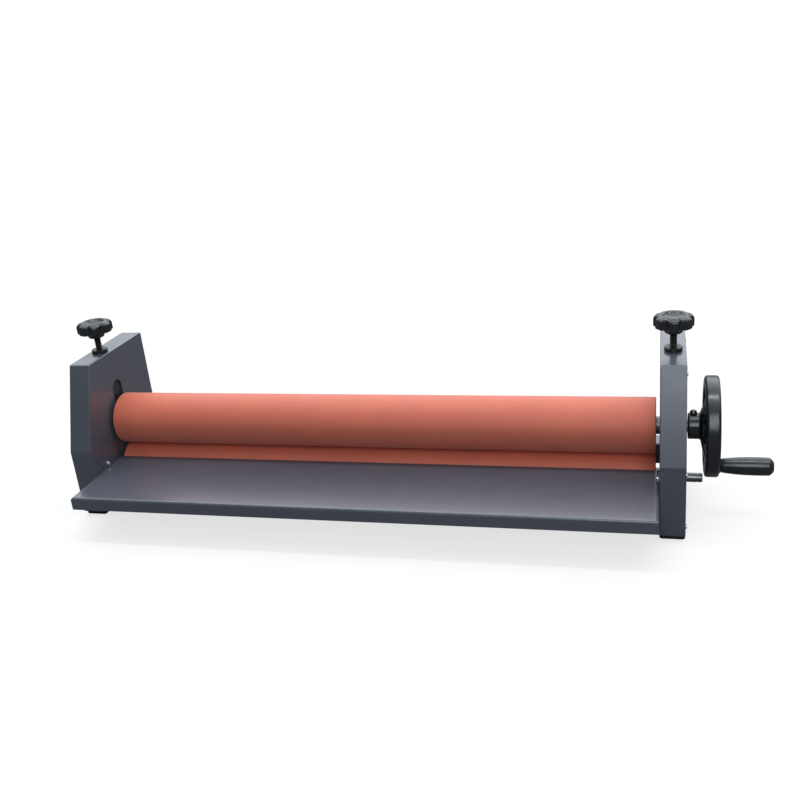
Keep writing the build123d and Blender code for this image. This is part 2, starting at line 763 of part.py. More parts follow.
def handwheel():
    """Dished wheel: long hub, three broad arms and a rounded rim with a boss for the spindle."""
    web_r = WHEEL_R - RIM_DEPTH
    outline = [(HUB_START, 0), (HUB_START, HUB_R - 1), (HUB_START + 1, HUB_R), (HUB_FLARE, HUB_R)]
    outline += [(RIM_IN + 4, web_r + 2), (RIM_OUT - 8, web_r + 2), (RIM_OUT - 6, HUB_R - 2)]
    outline += [(HUB_END, HUB_R - 4), (HUB_END, 0)]
    crank_axis = Axis((X_MID, Y_AXIS + CRANK_ACROSS, CRANK_Z), (1, 0, 0))
    with BuildPart() as wheel:
        add(turned(UPPER_Z, outline))
        with BuildSketch(along_rollers()):
            with Locations(((RIM_IN + RIM_OUT) / 2, UPPER_Z + WHEEL_R - RIM_DEPTH / 2)):
                RectangleRounded(RIM_OUT - RIM_IN, RIM_DEPTH, 5)
        revolve(axis=Axis((X_MID, Y_AXIS, UPPER_Z), (1, 0, 0)))
        for third in range(3):
            middle = 330 - CRANK_ANGLE + 120 * third
            with BuildSketch(square_to_rollers(HUB_FLARE - 10)) as window:
                with BuildLine():
                    outer = CenterArc((0, UPPER_Z), WINDOW_HIGH_R, middle - WINDOW_HALF, 2 * WINDOW_HALF)
                    inner = CenterArc((0, UPPER_Z), WINDOW_LOW_R, middle - WINDOW_HALF, 2 * WINDOW_HALF)
                    Line(outer @ 0, inner @ 0)
                    Line(outer @ 1, inner @ 1)
                make_face()
                fillet(window.vertices(), 6)
            extrude(amount=40, mode=Mode.SUBTRACT)
        with BuildSketch(square_to_rollers(RIM_IN + 2)):
            with Locations((CRANK_ACROSS, CRANK_Z)):
                Circle(13)
        extrude(amount=RIM_OUT + 3 - RIM_IN - 2)
        bore = [(HUB_START, 0), (HUB_START, DRIVE_R), (HUB_START + 34, DRIVE_R), (HUB_START + 34, 0)]
        add(turned(UPPER_Z, bore), mode=Mode.SUBTRACT)
        with BuildSketch(square_to_rollers(RIM_IN)):
            with Locations((CRANK_ACROSS, CRANK_Z)):
                Circle(SPINDLE_R)
        extrude(amount=RIM_OUT + 4 - RIM_IN, mode=Mode.SUBTRACT)
        with BuildSketch(level(UPPER_Z)):
            with Locations((SET_SCREW_X, 0)):
                Circle(3)
        extrude(amount=HUB_R + 1, mode=Mode.SUBTRACT)
    return wheel.part


def hub_set_screw():
    """Screw with a domed head, standing on top of the wheel's hub and bearing on the shaft."""
    seat = UPPER_Z + HUB_R - 0.3
    outline = [(0, UPPER_Z + DRIVE_R), (3, UPPER_Z + DRIVE_R), (3, seat), (6, seat), (6, seat + 3.5)]
    outline += [(5.2, seat + 5.5), (3.4, seat + 7), (0, seat + 7.6)]
    with BuildPart() as screw:
        add(turned_upright(outline, SET_SCREW_X))
        add(turned(UPPER_Z, [(550, 0), (550, HUB_R), (570, HUB_R), (570, 0)]), mode=Mode.SUBTRACT)
        with BuildSketch(level(UPPER_Z + DRIVE_R)):
            with Locations((SET_SCREW_X, 0)):
                Circle(3)
        extrude(amount=HUB_R - DRIVE_R + 1)
    return screw.part


def crank_spindle():
    """Shouldered spindle in the wheel's boss, with a head at the grip's tip."""
    outline = [(RIM_IN + 3, 0), (RIM_IN + 3, SPINDLE_R), (GRIP_END - 5, SPINDLE_R), (GRIP_END - 5, 6)]
    outline += [(GRIP_END - 2, 6), (GRIP_END - 1.5, 5.5), (GRIP_END - 1.5, 0)]
    with BuildPart() as spindle:
        add(turned(CRANK_Z, outline, CRANK_ACROSS))
        with BuildSketch(square_to_rollers(GRIP_END - 1.5)):
            with Locations((CRANK_ACROSS, CRANK_Z)):
                RegularPolygon(3, 6)
        extrude(amount=-2, mode=Mode.SUBTRACT)
    return spindle.part


def crank_grip():
    """Revolving grip, slimmer at the wheel and bevelled at the tip."""
    bore = SPINDLE_R + 0.3
    with BuildPart() as grip:
        with BuildSketch(along_rollers(CRANK_ACROSS)):
            with BuildLine():
                Polyline(
                    (GRIP_END, CRANK_Z + 8), (GRIP_END, CRANK_Z + 6.5), (GRIP_END - 5.3, CRANK_Z + 6.5),
                    (GRIP_END - 5.3, CRANK_Z + bore), (GRIP_START, CRANK_Z + bore),
                    (GRIP_START, CRANK_Z + 10.5), (GRIP_START + 1, CRANK_Z + 11.5),
                )
                Spline(
                    (GRIP_START + 1, CRANK_Z + 11.5), (GRIP_START + 28, CRANK_Z + 14.6),
                    (GRIP_END - 25, CRANK_Z + 15.4), (GRIP_END - 6.5, CRANK_Z + 14.9),
                )
                Polyline(
                    (GRIP_END - 6.5, CRANK_Z + 14.9), (GRIP_END - 1.5, CRANK_Z + 10.2),
                    (GRIP_END, CRANK_Z + 8),
                )
            make_face()
        revolve(axis=Axis((X_MID, Y_AXIS + CRANK_ACROSS, CRANK_Z), (1, 0, 0)))
    return grip.part


# ---------------------------------------------------------------- write every piece

os.makedirs("parts", exist_ok=True)

save_pair(side_frame(), "side_frame")
save(outer_cover(True), "right_outer_cover")
save(outer_cover(False).mirror(MIDDLE), "left_outer_cover")
save(cover_screws(), "cover_screws")
save_pair(guide_rails(), "guide_rails")
save_pair(keeper_plate(), "keeper_plate")
save(keeper_plate_screws(), "keeper_plate_screws")
save_pair(lower_bearing_block(), "lower_bearing_block")
save(screw_bushes(), "screw_bushes")
save(bush_lock_nuts(), "bush_lock_nuts")
save(feed_table(), "feed_table")
save(table_stiffener(), "table_stiffener")
save(table_screws(), "table_screws")
save(table_nuts(), "table_nuts")
save(front_tie_rod(), "front_tie_rod")
save(rear_crossbar(), "rear_crossbar")
save(cross_member_bolts(), "cross_member_bolts")
save(rubber_feet(), "rubber_feet")
save(foot_screws(), "foot_screws")
save(lift_springs(), "lift_springs")

save_pair(sliding_block(), "sliding_block")
save(screw_retainers(), "screw_retainers")
save(retainer_screws(), "retainer_screws")

for place, axis_height in (("upper", UPPER_Z), ("lower", LOWER_Z)):
    save(race_ring(axis_height, 22, BEARING_R), f"{place}_bearing_outer_rings")
    save(race_ring(axis_height, SHAFT_R, 16.5), f"{place}_bearing_inner_rings")
    save(bearing_balls(axis_height), f"{place}_bearing_balls")
    save(bearing_cages(axis_height), f"{place}_bearing_cages")
    save(roller_sleeve(axis_height), f"{place}_roller_sleeve")
    save(roller_core(axis_height), f"{place}_roller_core")
    save(end_plugs(axis_height), f"{place}_end_plugs")
    save(retaining_rings(axis_height), f"{place}_retaining_rings")
    save(journal(axis_height, idle_tail()).mirror(MIDDLE), f"{place}_idle_journal")
save(journal(UPPER_Z, upper_drive_tail()), "upper_drive_journal")
save(journal(LOWER_Z, lower_drive_tail()), "lower_drive_journal")

save_pair(pressure_screw(), "pressure_screw")
save(star_knob(-90), "right_star_knob")
save(star_knob(-124).mirror(MIDDLE), "left_star_knob")

save(handwheel(), "handwheel")
save(hub_set_screw(), "hub_set_screw")
save(crank_spindle(), "crank_spindle")
save(crank_grip(), "crank_grip")
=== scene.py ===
import json
import math

import bmesh
import bpy
from mathutils import Matrix, Vector


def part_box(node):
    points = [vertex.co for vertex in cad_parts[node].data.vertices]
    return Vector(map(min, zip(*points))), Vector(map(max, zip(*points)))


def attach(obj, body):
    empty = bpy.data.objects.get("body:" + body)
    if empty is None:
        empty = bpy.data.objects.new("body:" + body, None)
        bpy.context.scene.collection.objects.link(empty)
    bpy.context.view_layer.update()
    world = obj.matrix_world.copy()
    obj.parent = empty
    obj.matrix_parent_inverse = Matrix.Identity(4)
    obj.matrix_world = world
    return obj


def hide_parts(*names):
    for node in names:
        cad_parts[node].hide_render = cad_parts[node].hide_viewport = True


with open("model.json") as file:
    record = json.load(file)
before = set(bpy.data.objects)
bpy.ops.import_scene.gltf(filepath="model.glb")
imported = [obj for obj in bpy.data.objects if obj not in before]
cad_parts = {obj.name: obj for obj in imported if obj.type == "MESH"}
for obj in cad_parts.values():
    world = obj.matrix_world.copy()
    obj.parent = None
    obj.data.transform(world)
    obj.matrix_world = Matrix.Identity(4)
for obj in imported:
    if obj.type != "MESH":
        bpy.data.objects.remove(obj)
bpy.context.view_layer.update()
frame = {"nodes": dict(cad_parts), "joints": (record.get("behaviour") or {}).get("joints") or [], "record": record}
NODES = frame["nodes"]
MM = 0.001


# ---------------------------------------------------------------- places, from the frame


def centre(node):
    low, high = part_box(node)
    return (low + high) / 2


def joint_place(name):
    """A point on a hinge's axis."""
    return Vector(next(j["pos_m"] for j in frame["joints"] if j["name"] == name))


UPPER_AXIS = joint_place("upper_roller_spin")
LOWER_AXIS = joint_place("lower_roller_spin")
GRIP_AXIS = joint_place("grip_spin")
LEFT_SCREW_AXIS = joint_place("left_knob_turn")
RIGHT_SCREW_AXIS = joint_place("right_knob_turn")
X_MID = centre("upper_roller_sleeve").x


# ---------------------------------------------------------------- mesh helpers


def smooth_object(name, mesh, material, sharp_angle=40):
    """Adds the mesh to the scene as a smoothly shaded object with one material."""
    piece = bpy.data.objects.new(name, mesh)
    bpy.context.scene.collection.objects.link(piece)
    mesh.materials.append(material)
    mesh.polygons.foreach_set("use_smooth", [True] * len(mesh.polygons))
    mesh.set_sharp_from_angle(angle=math.radians(sharp_angle))
    return piece


def rounded(corners, steps=5):
    """A profile with its corners rounded. Each corner is (along, radius from the axis, rounding)."""
    count = len(corners)
    line = []
    for i, (x, r, size) in enumerate(corners):
        here = Vector((x, r))
        if size == 0 or i in (0, count - 1):
            line.append(here)
            continue
        before = Vector(corners[i - 1][:2]) - here
        after = Vector(corners[i + 1][:2]) - here
        cut = min(size, before.length * 0.49, after.length * 0.49)
        start = here + before.normalized() * cut
        end = here + after.normalized() * cut
        for s in range(steps + 1):
            t = s / steps
            line.append(start * (1 - t) ** 2 + here * 2 * t * (1 - t) + end * t ** 2)
    return line


def lathe(name, corners, place, axis, material, segments=96, steps=5, radius_at=None, sharp=40):
    """A closed turned piece. Corners are (along, radius, rounding) in millimetres, from place along axis.

    radius_at(angle, radius, along) may change the radius around the axis, as for lobes or flutes.
    """
    line = rounded(corners, steps)
    along = Vector(axis).normalized()
    side = along.orthogonal().normalized() if abs(along.z) < 0.9 else Vector((1, 0, 0))
    other = along.cross(side)
    mesh = bpy.data.meshes.new(name)
    bm = bmesh.new()
    rings = []
    for x, r in line:
        if r < 1e-6:
            rings.append([bm.verts.new(place + along * (x * MM))])
            continue
        ring = []
        for k in range(segments):
            angle = 2 * math.pi * k / segments
            radius = radius_at(angle, r, x) if radius_at else r
            out = side * math.cos(angle) + other * math.sin(angle)
            ring.append(bm.verts.new(place + along * (x * MM) + out * (radius * MM)))
        rings.append(ring)
    closed = len(rings[0]) > 1
    pairs = list(zip(rings, rings[1:]))
    if closed:
        pairs.append((rings[-1], rings[0]))
    for a, b in pairs:
        for k in range(segments):
            corners_of_face = [a[k % len(a)], a[(k + 1) % len(a)], b[(k + 1) % len(b)], b[k % len(b)]]
            face = list(dict.fromkeys(corners_of_face))
            if len(face) > 2:
                bm.faces.new(face)
    bmesh.ops.recalc_face_normals(bm, faces=bm.faces)
    bm.to_mesh(mesh)
    bm.free()
    return smooth_object(name, mesh, material, sharp)


def softened_copy(node, material, voxel, passes):
    """A copy of a CAD node as one skin whose edges and inner corners are rounded, as on a moulding."""
    piece = bpy.data.objects.new(node + "_moulding", NODES[node].data.copy())
    bpy.context.scene.collection.objects.link(piece)
    remesh = piece.modifiers.new("remesh", "REMESH")
    remesh.mode = "VOXEL"
    remesh.voxel_size = voxel
    smooth = piece.modifiers.new("smooth", "SMOOTH")
    smooth.factor = 0.5
    smooth.iterations = passes
    depsgraph = bpy.context.evaluated_depsgraph_get()
    mesh = bpy.data.meshes.new_from_object(piece.evaluated_get(depsgraph))
    bpy.data.objects.remove(piece)
    mesh.materials.clear()
    return smooth_object(node + "_moulding", mesh, material, 80)


# ---------------------------------------------------------------- material helpers


class Surface:
    """A procedural material: a Principled shader and the texture nodes that feed it."""

    def __init__(self, name, color, roughness, metallic=0.0, **sockets):
        self.material = bpy.data.materials.new(name)
        self.material.use_nodes = True
        self.tree = self.material.node_tree
        self.shader = self.tree.nodes["Principled BSDF"]
        self.shader.inputs["Base Color"].default_value = (*color, 1)
        self.shader.inputs["Roughness"].default_value = roughness
        self.shader.inputs["Metallic"].default_value = metallic
        for socket, value in sockets.items():
            self.shader.inputs[socket.replace("_", " ")].default_value = value
        self.place = self.node("ShaderNodeTexCoord").outputs["Object"]
        self.material.diffuse_color = (*color, 1)
        self.bump_normal = None

    def node(self, kind, **settings):
        made = self.tree.nodes.new(kind)
        for key, value in settings.items():
            setattr(made, key, value)
        return made

    def link(self, source, target):
        self.tree.links.new(source, target)

    def stretched(self, x, y, z):
        """Object coordinates, scaled differently along each axis."""
        mapping = self.node("ShaderNodeMapping")
        mapping.inputs["Scale"].default_value = (x, y, z)
        self.link(self.place, mapping.inputs["Vector"])
        return mapping.outputs["Vector"]

    def noise(self, scale, detail=3.0, rough=0.55, vector=None):
        texture = self.node("ShaderNodeTexNoise")
        texture.inputs["Scale"].default_value = scale
        texture.inputs["Detail"].default_value = detail
        texture.inputs["Roughness"].default_value = rough
        self.link(vector or self.place, texture.inputs["Vector"])
        return texture.outputs["Fac"]

    def cells(self, scale):
        texture = self.node("ShaderNodeTexVoronoi")
        texture.inputs["Scale"].default_value = scale
        self.link(self.place, texture.inputs["Vector"])
        return texture.outputs["Distance"]

    def spread(self, value, low, high, to_low, to_high):
        """Maps a texture's low..high onto to_low..to_high."""
        ranged = self.node("ShaderNodeMapRange")
        for socket, number in zip(("From Min", "From Max", "To Min", "To Max"), (low, high, to_low, to_high)):
            ranged.inputs[socket].default_value = number
        self.link(value, ranged.inputs["Value"])
        return ranged.outputs["Result"]

    def rough_by(self, value, low, high):
        self.link(self.spread(value, 0.3, 0.7, low, high), self.shader.inputs["Roughness"])

    def colors_by(self, value, stops):
        """Base colour from a texture through (position, colour) stops."""
        ramp = self.node("ShaderNodeValToRGB")
        elements = ramp.color_ramp.elements
        while len(elements) < len(stops):
            elements.new(0.5)
        for element, (position, color) in zip(elements, stops):
            element.position = position
            element.color = (*color, 1)
        self.link(value, ramp.inputs["Fac"])
        self.link(ramp.outputs["Color"], self.shader.inputs["Base Color"])

    def bump_by(self, value, height, strength=1.0):
        """Adds a relief of that height in metres on top of any before it."""
        bump = self.node("ShaderNodeBump")
        bump.inputs["Strength"].default_value = strength
        bump.inputs["Distance"].default_value = height
        self.link(value, bump.inputs["Height"])
        if self.bump_normal:
            self.link(self.bump_normal, bump.inputs["Normal"])
        self.bump_normal = bump.outputs["Normal"]
        self.link(self.bump_normal, self.shader.inputs["Normal"])


def shade(color, factor):
    return tuple(min(1.0, c * factor) for c in color)


# ---------------------------------------------------------------- materials


def powder_coat():
    """Semi-gloss grey powder coat: orange peel of two sizes and faint cloudiness."""
    grey = (0.076, 0.082, 0.102)
    clear = {"Specular_IOR_Level": 0.5, "Coat_Weight": 0.5, "Coat_Roughness": 0.16}
    coat = Surface("grey_powder_coat", grey, 0.32, **clear)
    cloud = coat.noise(7.0, 4.0)
    coat.colors_by(cloud, [(0.3, shade(grey, 0.93)), (0.7, shade(grey, 1.08))])
    coat.rough_by(coat.noise(38.0, 5.0), 0.28, 0.38)
    coat.bump_by(coat.noise(850.0, 2.0), 0.00005, 0.35)
    coat.bump_by(coat.noise(210.0, 2.0), 0.00006, 0.3)
    return coat.material


def silicone():
    """Ground orange silicone rubber: very fine rings around the roller, a soft bloom and a fine grain."""
    orange = (0.61, 0.147, 0.086)
    soft = {"Specular_IOR_Level": 0.42, "Sheen_Weight": 0.12, "Sheen_Roughness": 0.5}
    rubber = Surface("orange_silicone", orange, 0.56, **soft)
    bloom = rubber.noise(11.0, 5.0, 0.6)
    rubber.colors_by(bloom, [(0.28, shade(orange, 0.93)), (0.72, shade(orange, 1.06))])
    rings = rubber.noise(1.0, 3.0, 0.6, rubber.stretched(1300, 45, 45))
    rubber.rough_by(rings, 0.5, 0.62)
    rubber.bump_by(rings, 0.00004, 0.5)
    rubber.bump_by(rubber.noise(420.0, 2.0), 0.00003, 0.4)
    return rubber.material


def bakelite():
    """Polished black phenolic: glossy, with a faint moulding ripple and handling haze."""
    plastic = Surface("black_bakelite", (0.009, 0.01, 0.012), 0.22, Specular_IOR_Level=0.6)
    plastic.colors_by(plastic.noise(60.0, 4.0), [(0.35, (0.006, 0.007, 0.009)), (0.7, (0.012, 0.013, 0.016))])
    plastic.rough_by(plastic.noise(45.0, 5.0), 0.18, 0.3)
    plastic.bump_by(plastic.noise(120.0, 1.0), 0.00006, 0.3)
    return plastic.material


def turned_steel():
    """Bright turned shaft steel with fine tool rings along the shaft."""
    steel = Surface("turned_steel", (0.2, 0.195, 0.19), 0.36, 1.0)
    rings = steel.noise(1.0, 4.0, 0.7, steel.stretched(3200, 30, 30))
    steel.rough_by(rings, 0.27, 0.42)
    steel.bump_by(rings, 0.00002, 0.5)
    steel.colors_by(steel.noise(90.0, 3.0), [(0.3, (0.19, 0.185, 0.18)), (0.7, (0.29, 0.285, 0.275))])
    return steel.material


def machined_steel():
    """Milled block steel with a fine lay and faint oil stains."""
    steel = Surface("machined_steel", (0.1, 0.105, 0.11), 0.42, 0.9)
    lay = steel.noise(1.0, 3.0, 0.6, steel.stretched(200, 200, 2600))
    steel.rough_by(lay, 0.3, 0.48)
    steel.bump_by(lay, 0.00003, 0.4)
    steel.colors_by(steel.noise(70.0, 5.0), [(0.3, (0.07, 0.073, 0.078)), (0.7, (0.13, 0.135, 0.14))])
    return steel.material


def zinc():
    """Bright zinc plate with the faint blue and yellow tints of passivation."""
    plate = Surface("zinc_plate", (0.66, 0.67, 0.7), 0.26, 1.0)
    tints = [(0.3, (0.6, 0.63, 0.7)), (0.5, (0.68, 0.69, 0.7)), (0.75, (0.7, 0.68, 0.6))]
    plate.colors_by(plate.noise(260.0, 3.0), tints)
    plate.rough_by(plate.noise(900.0, 3.0), 0.2, 0.36)
    plate.bump_by(plate.noise(1400.0, 2.0), 0.00002, 0.4)
    return plate.material


def black_oxide():
    """Oiled black oxide on steel, a little brown where it is thin."""
    oxide = Surface("black_oxide", (0.03, 0.03, 0.033), 0.36, 0.6)
    oxide.colors_by(oxide.noise(240.0, 4.0), [(0.35, (0.022, 0.022, 0.025)), (0.72, (0.06, 0.052, 0.046))])
    oxide.rough_by(oxide.noise(500.0, 3.0), 0.28, 0.46)
    oxide.bump_by(oxide.noise(1500.0, 2.0), 0.00002, 0.4)
    return oxide.material


def polished_oxide():
    """Black oxide on the polished head of the set screw."""
    oxide = Surface("polished_oxide", (0.1, 0.1, 0.11), 0.16, 0.8)
    oxide.rough_by(oxide.noise(500.0, 3.0), 0.12, 0.22)
    oxide.colors_by(oxide.noise(240.0, 4.0), [(0.35, (0.08, 0.08, 0.09)), (0.72, (0.13, 0.125, 0.12))])
    return oxide.material


def bearing_steel():
    """Ground bearing steel."""
    steel = Surface("bearing_steel", (0.68, 0.68, 0.69), 0.14, 1.0)
    steel.rough_by(steel.noise(600.0, 3.0), 0.1, 0.2)
    steel.colors_by(steel.noise(150.0, 3.0), [(0.3, (0.62, 0.62, 0.64)), (0.7, (0.72, 0.72, 0.73))])
    return steel.material


def nylon():
    """Moulded natural nylon."""
    plastic = Surface("natural_nylon", (0.5, 0.43, 0.3), 0.48, Subsurface_Weight=0.1)
    plastic.colors_by(plastic.noise(130.0, 4.0), [(0.3, (0.44, 0.38, 0.26)), (0.7, (0.56, 0.5, 0.36))])
    plastic.bump_by(plastic.noise(900.0, 2.0), 0.00003, 0.4)
    return plastic.material


def foot_rubber():
    """Matte black rubber with a coarse moulded grain."""
    rubber = Surface("foot_rubber", (0.018, 0.018, 0.018), 0.8, Specular_IOR_Level=0.3)
    rubber.colors_by(rubber.noise(160.0, 5.0), [(0.3, (0.013, 0.013, 0.013)), (0.7, (0.03, 0.029, 0.028))])
    rubber.rough_by(rubber.noise(300.0, 3.0), 0.7, 0.9)
    rubber.bump_by(rubber.cells(900.0), 0.00012, 0.5)
    return rubber.material


FINISHES = {
    "powder_coat": powder_coat(),
    "silicone": silicone(),
    "bakelite": bakelite(),
    "turned_steel": turned_steel(),
    "mild_steel": machined_steel(),
    "zinc_steel": zinc(),
    "black_steel": black_oxide(),
    "bearing_steel": bearing_steel(),
    "nylon": nylon(),
    "foot_rubber": foot_rubber(),
}


def finish_cad_nodes():
    """Gives each CAD node the procedural material of its slot."""
    for subpart in frame["record"]["subparts"]:
        mesh = NODES[subpart["node"]].data
        mesh.materials.clear()
        mesh.materials.append(FINISHES[subpart["material_slot"]])
    NODES["hub_set_screw"].data.materials[0] = polished_oxide()


def place_piece(piece, body, slot, *nodes):
    """The piece stands for those CAD nodes, which it hides, and rides on their body. The slot is not used."""
    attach(piece, body)
    if nodes:
        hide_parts(*nodes)


# ---------------------------------------------------------------- rollers

SLEEVE_BORE_R = 40.0
SLEEVE_EDGE = 2.2


def roller_sleeve(which, axis_point):
    """Rubber sleeve with softly broken edges."""
    low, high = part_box(f"{which}_roller_sleeve")
    half = (high.x - low.x) / 2 / MM
    outer = (high.y - low.y) / 2 / MM
    middle = Vector(((low.x + high.x) / 2, axis_point.y, axis_point.z))
    corners = [
        (-half, SLEEVE_BORE_R, 0), (-half, outer, SLEEVE_EDGE), (half, outer, SLEEVE_EDGE),
        (half, SLEEVE_BORE_R, 0), (0, SLEEVE_BORE_R, 0),
    ]
    sleeve = lathe(
        f"{which}_sleeve", corners, middle, (1, 0, 0), FINISHES["silicone"], segments=192, steps=6
    )
    place_piece(sleeve, f"{which}_roller", "silicone", f"{which}_roller_sleeve")


# ---------------------------------------------------------------- star knobs and pressure screws

LOBES = 7
LOBE_R = 32.3
NOTCH_R = 7.0
NOTCH_DEPTH = 4.9
NOTCH_BLEND = 1.6  # a larger number makes a hollow meet the rim more crisply
NOTCH_FADE_R = 22.0  # the hollows fade out from the rim to this radius
RIM_THICK = 20.5
HUB_R = 15.7
TOP_SLOPE = 4.0
TOP_FLAT_R = 22.5
DISH_LIP_R = 18.6
DISH_FLOOR_R = 13.6
DISH_DEPTH = 4.9
SHANK_R = 6.0
COLLAR_R = 8
COLLAR_HIGH = 5.4
THREAD_CLEAR = 22.0  # plain shank at each end
THREAD_PITCH = 1.75
THREAD_DEPTH = 0.95
ROWS_PER_PITCH = 8


def scalloped_radius(angle):
    """Outline of the knob: a circle with seven narrow round hollows, blended where they meet it."""
    step = 2 * math.pi / LOBES
    off = (angle + step / 2) % step - step / 2
    to_hollow = abs(off) - step / 2
    centre_r = LOBE_R + NOTCH_R - NOTCH_DEPTH
    across = centre_r * math.sin(to_hollow)
    if abs(across) >= NOTCH_R:
        return LOBE_R
    hollow = centre_r * math.cos(to_hollow) - math.sqrt(NOTCH_R ** 2 - across ** 2)
    return LOBE_R - math.log(1 + math.exp(NOTCH_BLEND * (LOBE_R - hollow))) / NOTCH_BLEND


def star_knob(side, axis_point, facing):
    """Moulded star knob: scalloped rim, a top that falls away from its dish, and a round hub below.

    One lobe points along facing, in degrees from +X about the upright axis.
    """
    low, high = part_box(f"{side}_star_knob")
    height = (high.z - low.z) / MM
    base = Vector((axis_point.x, axis_point.y, low.z))
    rim_low = height - RIM_THICK + 0.1
    top = height - 0.15
    dish_floor = height - DISH_DEPTH

    def scalloped(angle, radius, z):
        reach = min(1.0, max(0.0, (radius - NOTCH_FADE_R) / (LOBE_R - NOTCH_FADE_R)))
        return radius - (LOBE_R - scalloped_radius(angle - math.radians(facing))) * reach

    corners = [
        (0.1, 0, 0), (0.1, HUB_R - 2.4, 1.6), (4.2, HUB_R, 3.0), (rim_low, HUB_R, 1.6),
        (rim_low, LOBE_R - 0.1, 3.2), (height - TOP_SLOPE, LOBE_R, 4.5),
        (top, TOP_FLAT_R, 3.0), (top, DISH_LIP_R, 1.8),
        (dish_floor + 0.1, DISH_FLOOR_R, 3.0), (dish_floor, 7, 1.5), (dish_floor, 0, 0),
    ]
    knob = lathe(
        f"{side}_knob_moulding", corners, base, (0, 0, 1), FINISHES["bakelite"],
        segments=280, steps=8, radius_at=scalloped, sharp=70,
    )
    place_piece(knob, f"{side}_screw", "bakelite", f"{side}_star_knob")


def pressure_screw(side, axis_point):
    """Screw with a real right-hand thread above its collar."""
    low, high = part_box(f"{side}_pressure_screw")
    base = Vector((axis_point.x, axis_point.y, low.z))
    length = (high.z - low.z) / MM
    thread_start, thread_end = THREAD_CLEAR, length - THREAD_CLEAR
    rows = int((thread_end - thread_start) / THREAD_PITCH * ROWS_PER_PITCH)

    def threaded(angle, radius, z):
        if not thread_start < z < thread_end or radius < SHANK_R - 1e-6:
            return radius
        turn = (z / THREAD_PITCH - angle / (2 * math.pi)) % 1.0
        fade = min(1.0, (z - thread_start) / THREAD_PITCH, (thread_end - z) / THREAD_PITCH)
        return radius - THREAD_DEPTH * fade * abs(2 * turn - 1)

    corners = [(0, 0, 0), (0, COLLAR_R, 1), (COLLAR_HIGH, COLLAR_R, 0.8), (COLLAR_HIGH, SHANK_R, 0)]
    for row in range(rows + 1):
        corners.append((thread_start + (thread_end - thread_start) * row / rows, SHANK_R, 0))
    corners += [(length, SHANK_R, 0.8), (length, 0, 0)]
    screw = lathe(
        f"{side}_threaded_screw", corners, base, (0, 0, 1), FINISHES["black_steel"],
        segments=40, steps=4, radius_at=threaded, sharp=60,
    )
    place_piece(screw, f"{side}_screw", "black_steel", f"{side}_pressure_screw")


# ---------------------------------------------------------------- crank wheel

WHEEL_RIM = (577.5, 600.5)  # its two sides, from the middle of the rollers
WHEEL_RIM_DEEP = 18.2  # from its inner edge to its outer edge
WHEEL_RIM_PROUD = 0.08  # so that it covers the moulding's own rim
WEB_GRAIN = 0.0011  # metres
WEB_SMOOTHING = 12
GRIP_BORE_R = 4.3


def hand_wheel():
    """Hub, arms and boss as one soft moulding, with a crisply turned rim around them."""
    low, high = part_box("handwheel")
    rim_in, rim_out = WHEEL_RIM
    middle = Vector((X_MID + (rim_in + rim_out) / 2 * MM, UPPER_AXIS.y, UPPER_AXIS.z))
    half = (rim_out - rim_in) / 2 + WHEEL_RIM_PROUD
    outer = (high.z - low.z) / 2 / MM + WHEEL_RIM_PROUD
    inner = outer - WHEEL_RIM_DEEP
    section = [
        (0, inner, 0), (-half, inner, 4.6), (-half, outer, 5.4), (half, outer, 5.4), (half, inner, 4.6),
    ]
    rim = lathe(
        "wheel_rim", section, middle, (1, 0, 0), FINISHES["bakelite"], segments=240, steps=8, sharp=60
    )
    place_piece(rim, "upper_roller", "bakelite")
    web = softened_copy("handwheel", FINISHES["bakelite"], WEB_GRAIN, WEB_SMOOTHING)
    place_piece(web, "upper_roller", "bakelite", "handwheel")


def grip():
    """Revolving grip: slim at the wheel, full in the hand, rounded tip with a sunk end."""
    low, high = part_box("crank_grip")
    start = Vector((low.x, GRIP_AXIS.y, GRIP_AXIS.z))
    length = (high.x - low.x) / MM
    corners = [
        (0.1, GRIP_BORE_R, 0), (0.1, 11.3, 0.9), (5, 12.2, 3.0), (28, 14.7, 18.0),
        (length - 25, 15.3, 10.0), (length - 6.5, 14.8, 2.2), (length - 1.4, 10.0, 1.6),
        (length - 0.1, 7.8, 0.6), (length - 0.1, 6.7, 0.3), (length - 5.2, 6.5, 0.3),
        (length - 5.2, GRIP_BORE_R, 0),
    ]
    handle = lathe(
        "grip_moulding", corners, start, (1, 0, 0), FINISHES["bakelite"], segments=96, steps=8, sharp=60
    )
    place_piece(handle, "crank_handle", "bakelite", "crank_grip")


# ---------------------------------------------------------------- stage, camera and lights

CAMERA_PLACE = Vector((0.4392, -1.4549, 0.8198))
CAMERA_TURN = 15.338  # degrees about the upright axis
CAMERA_TILT = -21.302  # degrees down
CAMERA_ROLL = 5.321
CAMERA_LENS = 42.54
CAMERA_SHIFT = (-0.0225, -0.0152)

SKY_LEAN = (0.0, 0.42, 0.91)  # where the sky is brightest: up, and a little to the back
SKY_COLOR = (0.88, 0.94, 1.0, 1)
ZENITH_LIGHT = 1.35
ZENITH_RAMP = (0.3, 0.95)
BACK_LIGHT = 1.2
BACK_RAMP = (0.25, 0.8)
HORIZON_RAMP = (0.08, 0.5)
AMBIENT_LIGHT = 0.17

FLOOR_HALF = 14.0
FLOOR_DROP = 0.0002
FLOOR_FADE = (0.5, 2.0)  # metres from the middle
FLOOR_GLOW = (0.72, 1.0)  # share of plain white near the object and far from it


